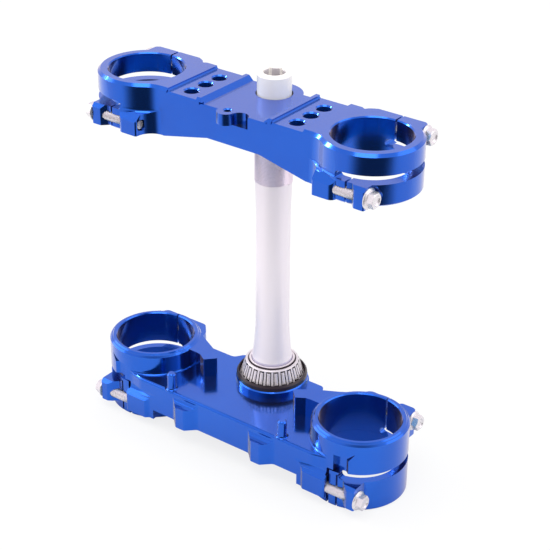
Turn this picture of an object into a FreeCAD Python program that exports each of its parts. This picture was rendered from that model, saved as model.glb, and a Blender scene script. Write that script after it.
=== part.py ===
import FreeCAD, Part
import math
import os

# A motorcycle triple clamp: two split clamps on a steering stem, with its lower bearing.
# Millimetres, +Z up along the steering axis, front of the motorcycle at -Y.
# The origin lies on the steering axis, level with the underside of the stem's foot.

V = FreeCAD.Vector
os.makedirs("parts", exist_ok=True)


# Driving dimensions: fork legs and heights

FORK_X = 95.0
FORK_OFFSET = 22.5
TOP_BORE_R = 27.0
LOW_BORE_R = 29.5
TOP_WALL = 7.5
LOW_WALL = 5.5
LOW_RING_TOP = 43.0
LOW_RING_TALL = 56.0
TOP_FACE = 260.0
TOP_RING_TALL = 35.5
BAND_SLOT = 6.0
BORE_EDGE = 0.8
BORE_RELIEF = 0.06
TOP_UPPER_BAND = 14.5
LOW_UPPER_BAND = 25.5
SLIT = 1.5
TOP_SLOT_FRONT_X = FORK_X - 2.0
TOP_SLOT_REAR_X = FORK_X - 4.0
LOW_SLOT_FRONT_X = FORK_X + 8.5
LOW_SLOT_REAR_X = FORK_X + 1.0
TOP_FRONT_SLIT_X = FORK_X + 3.7
TOP_REAR_SLIT_X = FORK_X + 0.5
LOW_FRONT_SLIT_X = FORK_X + 4.7
LOW_REAR_SLIT_X = FORK_X + 3.0

FORK_Y = -FORK_OFFSET
TOP_RING_R = TOP_BORE_R + TOP_WALL
LOW_RING_R = LOW_BORE_R + LOW_WALL
TOP_BOTTOM = TOP_FACE - TOP_RING_TALL
LOW_BOTTOM = LOW_RING_TOP - LOW_RING_TALL
TOP_SLOT_Z = TOP_FACE - TOP_UPPER_BAND - BAND_SLOT / 2
LOW_SLOT_Z = LOW_RING_TOP - LOW_UPPER_BAND - BAND_SLOT / 2
FAR_OUT = FORK_X + 2 * LOW_RING_R
RING_REACH = LOW_RING_R + 15.0

# Driving dimensions: pinch bolts

BOLT_R = 4.0
BOLT_LENGTH = 40.0
HOLE_REACH = 2.0
BOLT_CLEARANCE = 0.25
THREAD_CLEARANCE = 0.05
FLANGE_R = 7.2
FLANGE_THICK = 1.8
HEX_AF = 10.0
HEX_TALL = 4.6
SPOT_CLEARANCE = 0.9
LUG_WALL = 1.3
TOP_FRONT_SEAT_OUT = 19.5
TOP_REAR_SEAT_OUT = 20.5
LOW_SEAT_OUT = 22.5
TOP_FRONT_BOLT_UP = 7.1
LOW_FRONT_BOLT_UP = 13.6
BORE_TO_BOLT = 0.7

# Driving dimensions: steering stem and its bolt

STEM_TOP_R = 13.1
STEM_MID_R = 12.4
STEM_FOOT_R = 14.3
SEAT_R = 15.0
SEAT_TOP = 47.5
PRESS_R = 16.0
FOOT_FLANGE_R = 19.5
FOOT_FLANGE_THICK = 3.0
STEM_HOLE_R = 9.0
STEM_BOLT_R = 10.0
STEM_BOLT_HEAD_R = 12.0
STEM_BOLT_HEAD_TALL = 24.0
STEM_BOLT_SHANK = 32.0
STEM_SOCKET_AF = 14.0
STEM_SOCKET_DEEP = 12.0
TOP_WEB_THICK = 6.0
HEAD_POCKET_DEEP = 8.5
HEAD_CLEARANCE = 1.0
STEM_CLEARANCE = 0.1
PRESS_GAP = 0.01

# Driving dimensions: bearing and seal

ROLLERS = 24
CONTACT_ANGLE = 17.5
ROLLER_HALF_ANGLE = 1.8
ROLLER_LENGTH = 9.4
ENVELOPE_R = 21.9
BEARING_TALL = 15.3
ROLLER_MID = 8.1
ROLLER_GAP = 0.1
ROLLER_END_GAP = 0.2
RIB_TOP_R = 17.4
CAGE_THICK = 0.7
CAGE_INSET = 0.35
CAGE_POCKET_GAP = 0.12
SEAL_R = 26.4
SEAL_TALL = 4.8
SEAL_WALL = 1.6
BOSS_R = 27.0
BOSS_TALL = 4.7

# Driving dimensions: top clamp

TOP_HALF_FRONT = 23.7
TOP_REAR_Y = 9.0
TOP_BULGE_R = 20.0
TOP_UNDER_RISE = 8.5
RISE_INNER_X = 22.0
RISE_OUTER_X = 60.0
BEVEL = 2.0
SMALL_BEVEL = 1.1
BLEND_R = 20.0
CHANNEL_INNER_X = 31.5
CHANNEL_OUTER_X = 57.0
CHANNEL_DEEP = 2.0
POCKET_DEEP = 3.5
RIDGE_WIDTH = 3.0
BAR_HOLE_R = 5.1
BAR_HOLE_X = 44.4
BAR_HOLE_PITCH = 15.0
BAR_MIDDLE_Y = -19.5
PLATE_HOLE_R = 2.5
TOP_LUG_BEVEL = 4.7
OUTER_LUG_BEVEL = 2.6
COVE_R = 3.0

# Driving dimensions: bottom clamp

WEB_TOP = 26.0
WEB_BOTTOM = 2.0
LOW_FRONT_Y = -60.0
FRONT_EDGE_R = 2.2
ROOT_R = 1.8
LOW_REAR_Y = 7.0
LOW_MIDDLE_REAR_Y = 14.5
HORN_TOP = 41.2
POST_X = 51.0
POST_Y = -56.0
POST_R = 3.4
POST_TOP = 39.6
STOP_X = 35.1
STOP_OUT = 7.0
STOP_NOSE_HALF = 4.0
STOP_ROOT_HALF = 11.2
STOP_NOSE_R = 2.5
STOP_ROOT_R = 4.0
STOP_TOP = 19.2
STOP_COVE_R = 4.5
UNDER_POCKET_DEEP = 15.0
NOTCH_WALL = 1.2
LOW_LUG_TOP = 37.0
LOW_LUG_BEVEL = 2.9
LOW_COVE_R = 4.1
LOW_COVE_DROP = 0.5
LOW_COVE_STEP = 1.2
FIN_X = FORK_X - 1.7
FIN_GROOVE = 2.3
FIN_DROP = 1.0


# Shape helpers

def cylinder(radius, z0, z1, x=0.0, y=0.0):
    return Part.makeCylinder(radius, z1 - z0, V(x, y, z0))


def along_x(radius, x0, x1, y, z):
    return Part.makeCylinder(radius, x1 - x0, V(x0, y, z), V(1, 0, 0))


def box(x0, x1, y0, y1, z0, z1):
    return Part.makeBox(x1 - x0, y1 - y0, z1 - z0, V(x0, y0, z0))


def hexagon(across, z0, z1):
    corner = across / math.sqrt(3)
    ring = []
    for step in range(7):
        turn = math.radians(60 * step + 30)
        ring.append(V(corner * math.cos(turn), corner * math.sin(turn), z0))
    return Part.Face(Part.makePolygon(ring)).extrude(V(0, 0, z1 - z0))


def out(distance):
    """The X of a point at a distance outboard of the fork leg."""
    return FORK_X + distance


def turned(profile):
    """A solid turned round the Z axis from (radius, height) pairs."""
    points = [V(r, 0, z) for r, z in profile]
    face = Part.Face(Part.makePolygon(points + [points[0]]))
    return face.revolve(V(0, 0, 0), V(0, 0, 1), 360)


def prism(corners, z0, z1):
    """An upright prism over corners (x, y, corner radius)."""
    starts = []
    middles = []
    ends = []
    for index, (x, y, radius) in enumerate(corners):
        before = corners[index - 1]
        after = corners[(index + 1) % len(corners)]
        corner = V(x, y, z0)
        if radius == 0:
            starts.append(corner)
            middles.append(None)
            ends.append(corner)
            continue
        back = (V(before[0], before[1], z0) - corner).normalize()
        forth = (V(after[0], after[1], z0) - corner).normalize()
        half = back.getAngle(forth) / 2
        inward = (back + forth).normalize()
        centre = corner + inward * (radius / math.sin(half))
        starts.append(corner + back * (radius / math.tan(half)))
        middles.append(centre - inward * radius)
        ends.append(corner + forth * (radius / math.tan(half)))
    edges = []
    for index in range(len(corners)):
        if middles[index] is not None:
            edges.append(Part.Arc(starts[index], middles[index], ends[index]).toShape())
        follower = starts[(index + 1) % len(corners)]
        if ends[index].distanceToPoint(follower) > 1e-6:
            edges.append(Part.makeLine(ends[index], follower))
    face = Part.Face(Part.Wire(edges))
    return face.extrude(V(0, 0, z1 - z0))


def bar_along_x(section, x0, x1):
    """A bar from x0 to x1 with corners (y, z)."""
    points = [V(x0, y, z) for y, z in section]
    face = Part.Face(Part.makePolygon(points + [points[0]]))
    return face.extrude(V(x1 - x0, 0, 0))


def bar_along_y(section, y0, y1):
    """A bar from y0 to y1 with corners (x, z)."""
    points = [V(x, y0, z) for x, z in section]
    face = Part.Face(Part.makePolygon(points + [points[0]]))
    return face.extrude(V(0, y1 - y0, 0))


def root_fillet(radius):
    """The fillet ring between the web's top and an upright wall of the given radius."""
    low = WEB_TOP - 0.5
    high = WEB_TOP + ROOT_R
    collar = cylinder(radius + ROOT_R, low, high).cut(cylinder(radius - 1, low, high))
    return collar.cut(Part.makeTorus(radius + ROOT_R, ROOT_R, V(0, 0, high)))


def shear_back(lean, y0):
    """Moves a shape to -X in step with its depth behind y0."""
    matrix = FreeCAD.Matrix()
    matrix.A12 = -lean
    matrix.A14 = lean * y0
    return matrix


def join(first, *others):
    return first.fuse(list(others)).removeSplitter()


def flipped(shape):
    return shape.mirror(V(0, 0, 0), V(1, 0, 0))


def save(name, shape):
    solids = shape.Solids
    if len(solids) != 1:
        raise ValueError(name + " has " + str(len(solids)) + " solids")
    solids[0].exportStep("parts/" + name + ".step")


# Pinch bolt places, for the right side

class Pinch:
    """One bolt: its height, its place in Y and the plane its flange seats on."""

    def __init__(self, bore_r, seat_out, z, side):
        self.y = FORK_Y + side * (bore_r + BOLT_R + BOLT_CLEARANCE + BORE_TO_BOLT)
        self.z = z
        self.seat_x = FORK_X + seat_out
        self.side = side
        self.lug_y = self.y + side * (BOLT_R + LUG_WALL)


PINCHES = {
    "top_front": Pinch(TOP_BORE_R, TOP_FRONT_SEAT_OUT, TOP_BOTTOM + TOP_FRONT_BOLT_UP, -1),
    "top_rear": Pinch(TOP_BORE_R, TOP_REAR_SEAT_OUT, TOP_FACE - TOP_UPPER_BAND / 2, 1),
    "bottom_front": Pinch(LOW_BORE_R, LOW_SEAT_OUT, LOW_BOTTOM + LOW_FRONT_BOLT_UP, -1),
    "bottom_rear": Pinch(LOW_BORE_R, LOW_SEAT_OUT, LOW_RING_TOP - LOW_UPPER_BAND / 2, 1),
}


def pinch_cuts(pinch, gap_x):
    """Clearance hole, threaded hole and spot face for one pinch bolt."""
    tip = pinch.seat_x - BOLT_LENGTH
    thread = along_x(BOLT_R + THREAD_CLEARANCE, tip - HOLE_REACH, gap_x, pinch.y, pinch.z)
    hole = along_x(BOLT_R + BOLT_CLEARANCE, gap_x, pinch.seat_x + 1, pinch.y, pinch.z)
    spot_r = FLANGE_R + SPOT_CLEARANCE
    spot = along_x(spot_r, pinch.seat_x, pinch.seat_x + 14, pinch.y, pinch.z)
    return [thread, hole, spot]


def pinch_bolt(pinch):
    tip_bevel = 0.8
    shank = Part.makeCylinder(BOLT_R, BOLT_LENGTH - tip_bevel, V(0, 0, 0))
    tip = Part.makeCone(BOLT_R, BOLT_R - tip_bevel, tip_bevel, V(0, 0, BOLT_LENGTH - tip_bevel))
    flange = turned([(0, 0), (FLANGE_R, 0), (FLANGE_R, -0.9), (FLANGE_R - 1.4, -FLANGE_THICK),
                     (0, -FLANGE_THICK)])
    head_z = FLANGE_THICK + HEX_TALL
    across = hexagon(HEX_AF, -head_z, -FLANGE_THICK + 0.2)
    corner = HEX_AF / math.sqrt(3)
    dome = turned([(0, 0), (corner + 1, 0), (corner + 1, 1.1 - head_z), (HEX_AF / 2 - 0.3, -head_z),
                   (0, -head_z)])
    bolt = join(shank, tip, flange, across.common(dome))
    bolt.rotate(V(0, 0, 0), V(0, 1, 0), -90)
    bolt.translate(V(pinch.seat_x, pinch.y, pinch.z))
    return bolt


# Rings and their lugs

def ring_body(radius, z0, z1, lip):
    """A fork ring whose lip is a list of (radius drop, height drop) from the top edge."""
    profile = [(0, z0), (radius - 1.0, z0), (radius, z0 + 1.0)]
    for inward, down in lip:
        profile.append((radius - inward, z1 - down))
    profile.append((0, z1))
    ring = turned(profile)
    ring.translate(V(FORK_X, FORK_Y, 0))
    return ring


def front_bevel(front_y, top_z, size, x0, x1=FAR_OUT):
    """A cutter that takes a 45 degree bevel off a top front edge."""
    return bar_along_x([(front_y - 1, top_z + 1), (front_y - 1, top_z - size - 1),
                        (front_y + size + 1, top_z + 1)], x0, x1)


def fork_bore(radius, z0, z1, slot_z):
    """A bore with broken edges, relieved between its two bands so that each band grips the leg."""
    mouth_r = radius + BORE_EDGE + 1
    relief_r = radius + BORE_RELIEF
    low = slot_z - BAND_SLOT / 2
    high = slot_z + BAND_SLOT / 2
    bore = turned([(0, z0 - 1), (mouth_r, z0 - 1), (radius, z0 + BORE_EDGE), (radius, low),
                   (relief_r, low), (relief_r, high), (radius, high), (radius, z1 - BORE_EDGE),
                   (mouth_r, z1 + 1), (0, z1 + 1)])
    bore.translate(V(FORK_X, FORK_Y, 0))
    return bore


def band_slot(slot_z, front_x, rear_x):
    """The level slots that part the two bands, each with a round end."""
    half = BAND_SLOT / 2
    slots = []
    for end_x, y in [(front_x, FORK_Y - RING_REACH), (rear_x, FORK_Y)]:
        slots.append(Part.makeCylinder(half, RING_REACH, V(end_x, y, slot_z), V(0, 1, 0)))
        slots.append(box(end_x, FAR_OUT, y, y + RING_REACH, slot_z - half, slot_z + half))
    return slots


def slit(x, y0, y1, z0, z1):
    return box(x - SLIT / 2, x + SLIT / 2, y0, y1, z0, z1)


# Top clamp

def top_clamp():
    foot = TOP_SLOT_Z - BAND_SLOT / 2
    front_y = FORK_Y - TOP_HALF_FRONT
    front = PINCHES["top_front"]
    rear = PINCHES["top_rear"]

    # The blend arc that joins the straight front to the ring
    blend_y = front_y - BLEND_R
    span = TOP_RING_R + BLEND_R
    blend_x = FORK_X - math.sqrt(span ** 2 - (FORK_Y - blend_y) ** 2)
    meet = V(blend_x - FORK_X, blend_y - FORK_Y, 0).normalize() * TOP_RING_R
    meet_x = FORK_X + meet.x
    meet_y = FORK_Y + meet.y
    turn = math.radians(90) - math.atan2(meet_y - blend_y, meet_x - blend_x)
    bow_x = blend_x + BLEND_R * math.sin(turn / 2)
    bow_y = blend_y + BLEND_R * math.cos(turn / 2)

    def bridge(z0, z1):
        points = [V(0, front_y, z0), V(blend_x, front_y, z0)]
        wire = [Part.makeLine(points[0], points[1])]
        wire.append(Part.Arc(points[1], V(bow_x, bow_y, z0), V(meet_x, meet_y, z0)).toShape())
        rest = [V(meet_x, meet_y, z0), V(FORK_X, FORK_Y, z0), V(out(-20), 4, z0),
                V(out(-29), TOP_REAR_Y, z0), V(0, TOP_REAR_Y, z0), V(0, front_y, z0)]
        for start, end in zip(rest, rest[1:]):
            wire.append(Part.makeLine(start, end))
        return Part.Face(Part.Wire(wire)).extrude(V(0, 0, z1 - z0))

    body = bridge(TOP_BOTTOM, TOP_FACE)
    edges = []
    for edge in body.Edges:
        limits = edge.BoundBox
        if limits.ZMin > TOP_FACE - 1e-3 and limits.YMax < meet_y + 5 and limits.XMax < meet_x + 0.1:
            edges.append(edge)
    body = body.makeChamfer(BEVEL, edges)

    ring = ring_body(TOP_RING_R, TOP_BOTTOM, TOP_FACE, [(0, BEVEL), (BEVEL, 0)])
    bulge = cylinder(TOP_BULGE_R, TOP_BOTTOM, TOP_FACE).common(box(0, 40, -40, 40, 0, TOP_FACE + 1))

    # Lugs of the rear slit, on the upper band
    rear_lug = prism([(out(-35), -10, 0), (FORK_X, -22, 0), (out(21), -22, 0), (rear.seat_x, 4, 0),
                      (rear.seat_x, rear.lug_y - 3.5, 2), (rear.seat_x - 5, rear.lug_y, 3),
                      (out(-17), rear.lug_y - 0.8, 6), (out(-25), 10, 12)], foot, TOP_FACE)
    rear_bevel = bar_along_x([(rear.lug_y + 1, TOP_FACE + 1), (rear.lug_y + 1, TOP_FACE - OUTER_LUG_BEVEL),
                              (rear.lug_y - OUTER_LUG_BEVEL, TOP_FACE + 1)], out(-35), FAR_OUT)
    rear_lug = rear_lug.cut(rear_bevel)

    # Lugs of the front slit, on the lower band, below a coved ledge
    lug_start = out(-33.5)
    inner_x = out(-21)
    lug_end = out(-4)
    inner_lug = prism([(lug_start, -36, 0), (lug_start, front_y, 0), (inner_x, front_y, 12),
                       (inner_x, front.lug_y, 1.5), (lug_end, front.lug_y, 4.5), (lug_end, -36, 0)],
                      TOP_BOTTOM, foot + COVE_R)
    outer_lug = prism([(out(5.5), -53.2, 0), (out(11.6), front.lug_y + 0.15, 2),
                       (out(14.5), front.lug_y, 1.5), (front.seat_x, front.lug_y, 1),
                       (front.seat_x, -44, 0), (out(5), -44, 0)], TOP_BOTTOM, foot)
    tool_wire = [Part.makeLine(V(40, front_y, foot), V(blend_x, front_y, foot))]
    tool_wire.append(Part.Arc(V(blend_x, front_y, foot), V(bow_x, bow_y, foot),
                              V(meet_x, meet_y, foot)).toShape())
    ring_front = V(FORK_X, FORK_Y - TOP_RING_R, foot)
    bisect = (meet.normalize() + V(0, -1, 0)).normalize() * TOP_RING_R
    tool_wire.append(Part.Arc(V(meet_x, meet_y, foot), V(FORK_X + bisect.x, FORK_Y + bisect.y, foot),
                              ring_front).toShape())
    outside = [ring_front, V(FORK_X + 30, FORK_Y - TOP_RING_R, foot), V(FORK_X + 30, -80, foot),
               V(40, -80, foot), V(40, front_y, foot)]
    for start, end in zip(outside, outside[1:]):
        tool_wire.append(Part.makeLine(start, end))
    tool = Part.Face(Part.Wire(tool_wire)).extrude(V(0, 0, 20))
    wall_edges = []
    for edge in tool.Edges:
        limits = edge.BoundBox
        if limits.ZMax < foot + 1e-3 and limits.YMin > FORK_Y - TOP_RING_R - 0.1:
            wall_edges.append(edge)
    tool = tool.makeFillet(COVE_R, wall_edges)
    inner_lug = inner_lug.cut(tool)
    inner_lug = inner_lug.cut(front_bevel(front.lug_y, foot, TOP_LUG_BEVEL, 40))
    outer_lug = outer_lug.cut(front_bevel(front.lug_y, foot, OUTER_LUG_BEVEL, 40))

    # The underside rises from the rings to the middle
    rise = TOP_BOTTOM + TOP_UNDER_RISE
    under = bar_along_y([(-1, TOP_BOTTOM - 1), (RISE_OUTER_X + 1, TOP_BOTTOM - 1), (RISE_OUTER_X, TOP_BOTTOM),
                         (RISE_INNER_X, rise), (-1, rise)], -60, 60)
    body = join(body, bulge).cut(under)

    half = join(body, ring, rear_lug, inner_lug, outer_lug)

    # Handlebar seats, ridge and middle pocket
    floor = TOP_FACE - CHANNEL_DEEP
    channel = bar_along_y([(CHANNEL_INNER_X, TOP_FACE + 1), (CHANNEL_INNER_X, floor + 0.8),
                           (CHANNEL_INNER_X + 0.8, floor), (CHANNEL_OUTER_X - 0.8, floor),
                           (CHANNEL_OUTER_X, floor + 0.8), (CHANNEL_OUTER_X, TOP_FACE + 1)], -60, 40)
    low_floor = TOP_FACE - POCKET_DEEP
    ridge_x = CHANNEL_INNER_X - RIDGE_WIDTH
    pocket = bar_along_y([(-1, TOP_FACE + 1), (-1, low_floor), (ridge_x - POCKET_DEEP, low_floor),
                          (ridge_x, TOP_FACE), (ridge_x, TOP_FACE + 1)], -60, 40)
    cuts = [channel, pocket]
    cuts.append(front_bevel(front_y, floor, SMALL_BEVEL, CHANNEL_INNER_X, CHANNEL_OUTER_X))
    cuts.append(front_bevel(front_y, low_floor, SMALL_BEVEL, -1, ridge_x))
    for step in (-1, 0, 1):
        y = BAR_MIDDLE_Y + step * BAR_HOLE_PITCH
        cuts.append(cylinder(BAR_HOLE_R, TOP_BOTTOM - 1, TOP_FACE + 1, BAR_HOLE_X, y))
        sink = Part.makeCone(BAR_HOLE_R, BAR_HOLE_R + 1.8, 1.8, V(BAR_HOLE_X, y, floor - 0.9))
        cuts.append(sink)

    # Weight pockets under the bridge
    cuts.append(prism([(RISE_INNER_X + 5, -40, 3), (37, -40, 3), (37, 3, 3), (RISE_INNER_X + 5, 3, 3)],
                      TOP_BOTTOM - 1, TOP_FACE - 10))
    cuts.append(prism([(53, -40, 3), (62, -40, 3), (62, 3, 3), (53, 3, 3)], TOP_BOTTOM - 1, TOP_FACE - 10))

    cuts.append(fork_bore(TOP_BORE_R, TOP_BOTTOM, TOP_FACE, TOP_SLOT_Z))
    cuts += band_slot(TOP_SLOT_Z, TOP_SLOT_FRONT_X, TOP_SLOT_REAR_X)
    cuts.append(slit(TOP_FRONT_SLIT_X, FORK_Y - 50, FORK_Y, TOP_BOTTOM - 1, TOP_SLOT_Z))
    cuts.append(slit(TOP_REAR_SLIT_X, FORK_Y, FORK_Y + 50, TOP_SLOT_Z, TOP_FACE + 1))
    cuts += pinch_cuts(front, TOP_FRONT_SLIT_X)
    cuts += pinch_cuts(rear, TOP_REAR_SLIT_X)
    half = half.cut(cuts)
    whole = join(half, flipped(half))

    # Number plate boss on the front face, beside a round notch
    boss_x = -6.4
    boss_low = low_floor - 8.2
    boss = join(cylinder(6.5, boss_low, low_floor, boss_x, front_y + 1.2),
                box(boss_x - 6.5, boss_x + 6.5, front_y + 1.2, front_y + 6, boss_low, low_floor))
    notch = cylinder(6.3, boss_low, TOP_FACE + 1, boss_x + 12.8, front_y - 0.8)
    notch_out = box(boss_x + 6.5, boss_x + 19.1, front_y - 12, front_y - 0.8, boss_low, TOP_FACE + 1)
    plate_hole = cylinder(PLATE_HOLE_R, low_floor - 14, TOP_FACE, boss_x, front_y + 2.9)
    sink_foot = V(boss_x, front_y + 2.9, low_floor - 0.9)
    plate_sink = Part.makeCone(PLATE_HOLE_R, PLATE_HOLE_R + 1.8, 1.8, sink_foot)

    # Stem and stem bolt
    pocket_z = low_floor - HEAD_POCKET_DEEP
    web_z = pocket_z - TOP_WEB_THICK
    stem_cuts = [
        cylinder(STEM_BOLT_HEAD_R + HEAD_CLEARANCE, pocket_z, TOP_FACE + 1),
        cylinder(STEM_BOLT_R + STEM_CLEARANCE, web_z - 1, pocket_z + 1),
        cylinder(STEM_TOP_R + STEM_CLEARANCE, TOP_BOTTOM - 1, web_z),
    ]
    whole = join(whole, boss).cut([notch, notch_out, plate_hole, plate_sink] + stem_cuts)
    return whole.removeSplitter()


# Bottom clamp

def bottom_clamp():
    foot = LOW_SLOT_Z - BAND_SLOT / 2
    front = PINCHES["bottom_front"]
    rear = PINCHES["bottom_rear"]
    lip = [(0, 2.5), (1.1, 1.1), (1.8, 1.0), (2.7, 0)]
    ring = ring_body(LOW_RING_R, LOW_BOTTOM, LOW_RING_TOP, lip)

    # The web, with a rounded front edge that follows it to the ring
    ring_front = FORK_Y - LOW_RING_R
    shoulder_y = ring_front + 0.15
    front_path = [(out(-16), LOW_FRONT_Y, 18), (out(-5.5), shoulder_y, 18)]
    web_plan = [(0, LOW_FRONT_Y, 0)] + front_path
    web_plan += [(FORK_X, shoulder_y, 0), (FORK_X, -22, 0), (out(-15), 5, 0), (out(-29), LOW_REAR_Y, 0),
                 (42, LOW_REAR_Y, 5), (37, LOW_MIDDLE_REAR_Y, 4), (0, LOW_MIDDLE_REAR_Y, 0)]
    web = prism(web_plan, WEB_BOTTOM, WEB_TOP)
    front_edges = []
    for edge in web.Edges:
        limits = edge.BoundBox
        if limits.ZMin > WEB_TOP - 1e-3 and limits.YMax < shoulder_y + 1e-3:
            front_edges.append(edge)
    web = web.makeFillet(FRONT_EDGE_R, front_edges)
    hub = cylinder(BOSS_R + 1, 0, WEB_TOP)

    # Raised horns behind the stem, and the posts and rings with their root fillets
    horn = prism([(out(-5), -25, 0), (53.5, -24.3, 5), (49, -24.8, 1), (42.3, -29, 1), (35, -21.2, 1.5),
                  (47, -12, 6), (64, -3, 8), (out(-22), 3, 0), (out(-5), 0, 0)], WEB_TOP - 2, HORN_TOP)
    post = turned([(0, WEB_TOP - 2), (POST_R, WEB_TOP - 2), (POST_R, POST_TOP - 1.2),
                   (POST_R - 1.2, POST_TOP), (0, POST_TOP)])
    post = join(post, root_fillet(POST_R))
    post.translate(V(POST_X, POST_Y, 0))
    ring_root = root_fillet(LOW_RING_R)
    ring_root.translate(V(FORK_X, FORK_Y, 0))
    ring_root = ring_root.common(prism(web_plan, WEB_BOTTOM, HORN_TOP))

    rear_lug = prism([(out(-29), -10, 0), (FORK_X, -22, 0), (out(24), -22, 0), (rear.seat_x, 4, 0),
                      (rear.seat_x, rear.lug_y, 4), (out(10), rear.lug_y, 3), (out(4), 11, 2),
                      (out(-1), rear.lug_y, 3), (out(-17), rear.lug_y, 5), (out(-25), 8, 8)],
                     foot + BAND_SLOT / 2, LOW_LUG_TOP)

    # Lugs of the front slit, with a cove between the inner one and the wall above it
    lug_start = out(-28)
    lug_end = FIN_X - FIN_GROOVE / 2
    lug_low = -6.0
    cove_z = foot - LOW_COVE_DROP
    cove_top = cove_z + LOW_COVE_R + LOW_COVE_STEP
    inner_lug = prism([(lug_start, -50, 0), (lug_start, LOW_FRONT_Y, 0), (out(-24), LOW_FRONT_Y, 3),
                       (out(-21.5), front.lug_y, 1.5), (lug_end, front.lug_y, 1.5), (lug_end, -50, 0)],
                      lug_low, cove_top)
    tool = prism([(out(-40), LOW_FRONT_Y, 0), (out(-28), LOW_FRONT_Y, 45), (out(-15), shoulder_y, 45),
                  (FORK_X, shoulder_y, 0), (FORK_X, -80, 0), (out(-40), -80, 0)], cove_z, cove_top)
    wall_edges = []
    for edge in tool.Edges:
        limits = edge.BoundBox
        if limits.ZMax < cove_z + 1e-3 and limits.YMin > LOW_FRONT_Y - 1e-3:
            wall_edges.append(edge)
    cove = tool.makeFillet(LOW_COVE_R, wall_edges)
    inner_lug = inner_lug.cut(front_bevel(front.lug_y, foot, LOW_LUG_BEVEL, lug_start))
    outer_lug = prism([(out(9), -56, 0), (out(13.5), -60.5, 2), (out(16.5), front.lug_y, 2),
                       (front.seat_x, front.lug_y, 1), (front.seat_x, -44, 0), (out(7), -44, 0)],
                      lug_low, foot)
    outer_lug = outer_lug.cut(front_bevel(front.lug_y, foot, OUTER_LUG_BEVEL, lug_start))

    # Steering stops, each under a cove in the web's front
    stop_y = LOW_FRONT_Y - STOP_OUT
    stop_high = STOP_TOP + STOP_COVE_R
    base = STOP_ROOT_HALF
    stop_plan = [(-base - 5, -55, 0), (-base - 5, LOW_FRONT_Y, 0), (-base, LOW_FRONT_Y, STOP_ROOT_R),
                 (-STOP_NOSE_HALF, stop_y, STOP_NOSE_R), (STOP_NOSE_HALF, stop_y, STOP_NOSE_R),
                 (base, LOW_FRONT_Y, STOP_ROOT_R), (base + 5, LOW_FRONT_Y, 0), (base + 5, -55, 0)]
    stop = prism(stop_plan, WEB_BOTTOM, stop_high)
    cove_y = LOW_FRONT_Y - STOP_COVE_R
    reach = base + 6
    stop = stop.cut([along_x(STOP_COVE_R, -reach, reach, cove_y, stop_high),
                     box(-reach, reach, stop_y - 1, cove_y, STOP_TOP, stop_high + 1)])
    stop.translate(V(STOP_X, 0, 0))

    half = join(web, hub, ring, ring_root, horn, post, rear_lug, inner_lug, outer_lug, stop)

    # Pockets under the web leave ribs between the stem and the rings
    ceiling = UNDER_POCKET_DEEP
    cuts = [
        cove,
        prism([(26, -50, 5), (56, -50, 5), (56, -34, 5), (26, -34, 5)], -20, ceiling),
        prism([(33, -26, 5), (53, -22, 5), (56, -2, 5), (37, 1, 5)], -20, ceiling),
    ]
    cuts.append(fork_bore(LOW_BORE_R, LOW_BOTTOM, LOW_RING_TOP, LOW_SLOT_Z))
    cuts += band_slot(LOW_SLOT_Z, LOW_SLOT_FRONT_X, LOW_SLOT_REAR_X)
    cuts.append(slit(LOW_FRONT_SLIT_X, FORK_Y - 50, FORK_Y, LOW_BOTTOM - 1, LOW_SLOT_Z))
    cuts.append(slit(LOW_REAR_SLIT_X, FORK_Y, FORK_Y + 50, LOW_SLOT_Z, LOW_RING_TOP + 1))
    cuts += pinch_cuts(front, LOW_FRONT_SLIT_X)
    cuts += pinch_cuts(rear, LOW_REAR_SLIT_X)

    # A fin between a groove and the front slit, under a blind notch with a slanting right side
    notch_y = FORK_Y - LOW_BORE_R - NOTCH_WALL
    notch_foot = foot + BAND_SLOT
    groove_end = notch_foot - FIN_GROOVE / 2
    deep = 6.0
    groove_x = FIN_X - FIN_GROOVE / 2
    groove = box(groove_x - FIN_GROOVE / 2, FIN_X, notch_y - deep, notch_y, LOW_BOTTOM - 1, groove_end)
    groove_top = Part.makeCylinder(FIN_GROOVE / 2, deep, V(groove_x, notch_y - deep, groove_end), V(0, 1, 0))
    cuts += [groove, groove_top]
    cuts.append(box(groove_x, LOW_SLOT_FRONT_X, notch_y - deep, notch_y, notch_foot - FIN_DROP, notch_foot))
    notch_low = notch_foot - 0.01
    cuts.append(box(out(1.5), out(8.5), notch_y - deep, notch_y, notch_low, 30.5))
    slant = bar_along_y([(out(10), notch_low), (out(17.9), notch_low), (out(17.9), 28), (out(24.5), 34),
                         (out(10), 30.5)], notch_y - deep, notch_y)
    cuts.append(slant.transformGeometry(shear_back(4.0 / 3.0, notch_y - deep)))
    half = half.cut(cuts)

    boss = turned([(0, WEB_TOP - 1), (BOSS_R, WEB_TOP - 1), (BOSS_R, WEB_TOP + BOSS_TALL - 0.8),
                   (BOSS_R - 0.8, WEB_TOP + BOSS_TALL), (0, WEB_TOP + BOSS_TALL)])
    whole = join(half, flipped(half), boss)
    stem_hole = cylinder(PRESS_R + PRESS_GAP, -20, WEB_TOP + BOSS_TALL + 1)
    flange_pocket = cylinder(FOOT_FLANGE_R + 0.3, -20, FOOT_FLANGE_THICK)
    middle = prism([(-18, -50, 5), (18, -50, 5), (18, -32, 5), (-18, -32, 5)], -20, ceiling)
    return whole.cut([stem_hole, flange_pocket, middle]).removeSplitter()


# Stem, stem bolt, bearing and seal

BOSS_TOP = WEB_TOP + BOSS_TALL
POCKET_Z = TOP_FACE - POCKET_DEEP - HEAD_POCKET_DEEP
STEM_TOP = POCKET_Z - TOP_WEB_THICK


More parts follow.
